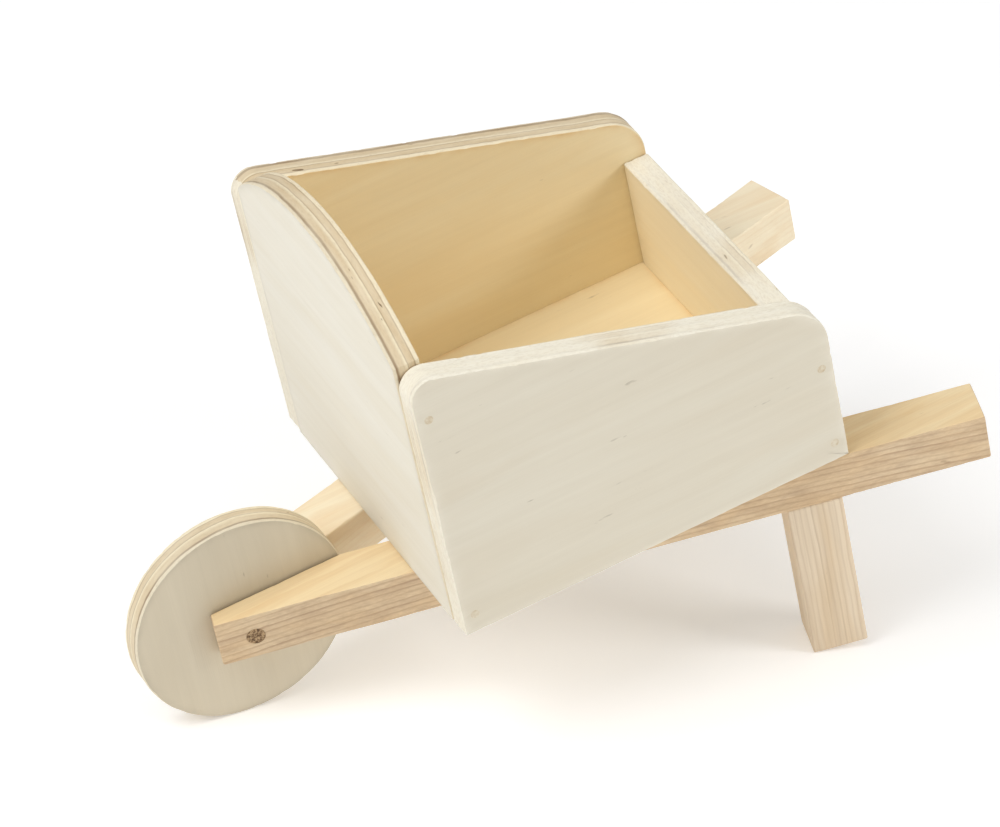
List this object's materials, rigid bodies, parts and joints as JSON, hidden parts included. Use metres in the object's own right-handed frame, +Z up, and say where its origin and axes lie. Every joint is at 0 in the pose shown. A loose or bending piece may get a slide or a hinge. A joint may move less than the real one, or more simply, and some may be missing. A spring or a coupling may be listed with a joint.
{
  "type": "wooden wheelbarrow",
  "caption": "Small wooden wheelbarrow: an open plywood tray with an arched front on two toed-in rails that end in handles, two square legs and a disc wheel on a dowel axle.",
  "frame": {"origin": "on the ground, in the middle of the barrow's length and width", "axes": "+X forward to the wheel, +Y to the left, +Z up"},
  "size_m": [0.1858, 0.1058, 0.1231],
  "materials": {
    "plywood": "bare sanded plywood, matt",
    "pine": "bare planed pine, matt",
    "dowel": "bare dowel, dark end grain",
    "pin_steel": "dull panel pin steel"
  },
  "bodies": {
    "frame": {"left_side_panel": "plywood", "right_side_panel": "plywood", "front_panel": "plywood", "rear_panel": "plywood", "floor_panel": "plywood", "left_rail": "pine", "right_rail": "pine", "left_leg": "pine", "right_leg": "pine", "left_leg_dowel": "dowel", "right_leg_dowel": "dowel", "axle_dowel": "dowel", "left_front_pins": "pin_steel", "right_front_pins": "pin_steel", "left_rear_pins": "pin_steel", "right_rear_pins": "pin_steel"},
    "wheel": {"wheel": "plywood"}
  },
  "joints": [
    {"name": "wheel_spin", "type": "hinge", "parent": "frame", "child": "wheel", "pos_m": [0.06746, 0, 0.0254], "axis": [0, 1, 0], "continuous": true}
  ]
}
